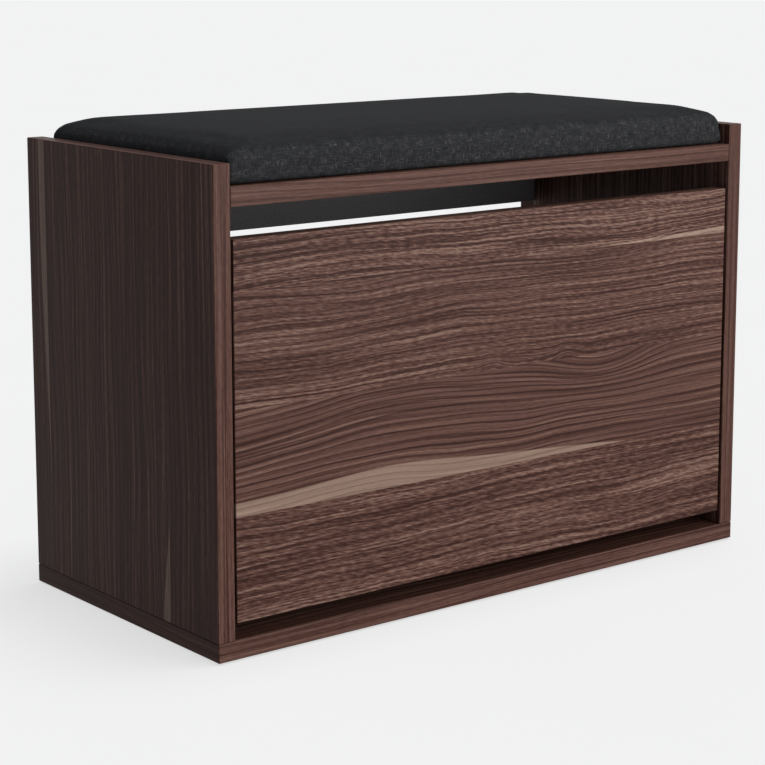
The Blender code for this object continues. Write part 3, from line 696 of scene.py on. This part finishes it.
def cut_recess(pad):
    """Makes room in the cushion's underside for its board."""
    gap = Vector((RECESS_GAP, RECESS_GAP, RECESS_GAP))
    drop = Vector((RECESS_GAP, RECESS_GAP, RECESS_DROP))
    cutter = add_mesh("board_place", box_mesh(CUSHION_BOARD_LOW - drop, CUSHION_BOARD_HIGH + gap))
    recess = pad.modifiers.new("board_place", "BOOLEAN")
    recess.operation = "DIFFERENCE"
    recess.object = cutter
    apply_modifiers(pad)
    bpy.data.objects.remove(cutter)


def make_cushion(cloth_material):
    """Blows the cloth up over its foam, caps the swell and cuts the board's place in the bottom."""
    pad = pad_form()
    remesh = pad.modifiers.new("even_mesh", "REMESH")
    remesh.mode = "VOXEL"
    remesh.voxel_size = PAD_VOXEL
    apply_modifiers(pad)
    rest = [v.co.copy() for v in pad.data.vertices]
    run_cloth(pad)
    cap_swell(pad, rest)
    subdivide = pad.modifiers.new("fine_surface", "SUBSURF")
    subdivide.levels = 1
    subdivide.render_levels = 1
    apply_modifiers(pad)
    cut_recess(pad)
    pad.data.shade_smooth()
    pad.data.set_sharp_from_angle(angle=PAD_SHARP_EDGE)
    pad.data.materials.clear()
    pad.data.materials.append(cloth_material)
    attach(pad, "carcass")
    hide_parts("seat_cushion")


# Studio

def make_floor():
    bm = bmesh.new()
    bmesh.ops.create_grid(bm, x_segments=2, y_segments=2, size=FLOOR_SIZE / 2)
    floor = add_mesh("studio_floor", bm)
    floor.data.materials.append(floor_paint())
    return floor


def make_camera():
    data = bpy.data.cameras.new("camera")
    data.lens = CAMERA_LENS
    data.shift_x, data.shift_y = CAMERA_SHIFT
    data.clip_end = 200
    data.dof.use_dof = False
    camera = bpy.data.objects.new("camera", data)
    camera.location = CAMERA_PLACE
    camera.rotation_euler = Euler((math.pi / 2 - CAMERA_DROP, 0, -CAMERA_HEADING))
    bpy.context.scene.collection.objects.link(camera)
    bpy.context.scene.camera = camera


def make_light(name, kind, towards, energy):
    data = bpy.data.lights.new(name, kind)
    data.energy = energy
    light = bpy.data.objects.new(name, data)
    light.rotation_euler = Vector(towards).to_track_quat("-Z", "Y").to_euler()
    bpy.context.scene.collection.objects.link(light)
    return light


def skip_floor(light, floor):
    """The light doesn't reach the floor, so the floor keeps an even tone."""
    receivers = bpy.data.collections.new(light.name + "_receivers")
    receivers.objects.link(floor)
    receivers.collection_objects[0].light_linking.link_state = "EXCLUDE"
    light.light_linking.receiver_collection = receivers


def make_lights(floor):
    """A large softbox in front on the right, and a soft light overhead."""
    softbox = make_light("softbox", "AREA", towards=(-0.33, 1.0, -0.19), energy=210)
    softbox.location = (1.10, -3.00, 1.05)
    softbox.data.color = (1.0, 0.98, 0.965)
    softbox.data.shape = "RECTANGLE"
    softbox.data.size = 3.2
    softbox.data.size_y = 2.3
    softbox.visible_camera = False
    skip_floor(softbox, floor)
    overhead = make_light("overhead", "SUN", towards=(-0.15, 0.10, -1.0), energy=3.5)
    overhead.data.angle = math.radians(30)


def make_surround():
    """A pale surround, darker and bluer overhead."""
    world = bpy.data.worlds.new("studio")
    world.use_nodes = True
    bpy.context.scene.world = world
    tree = world.node_tree
    coordinates = tree.nodes.new("ShaderNodeTexCoord")
    parts = tree.nodes.new("ShaderNodeSeparateXYZ")
    ramp = tree.nodes.new("ShaderNodeValToRGB")
    tree.links.new(coordinates.outputs["Generated"], parts.inputs[0])
    tree.links.new(parts.outputs[2], ramp.inputs[0])
    horizon, sky = ramp.color_ramp.elements
    horizon.position = 0.10
    horizon.color = (0.89, 0.89, 0.89, 1)
    sky.position = 0.35
    sky.color = (0.30, 0.315, 0.34, 1)
    tree.links.new(ramp.outputs[0], tree.nodes["Background"].inputs["Color"])


slots = paint_frame()
soften_shading()
make_cushion(slots["fabric"])
studio_floor = make_floor()
make_camera()
make_lights(studio_floor)
make_surround()
bpy.context.scene.view_settings.view_transform = "Standard"
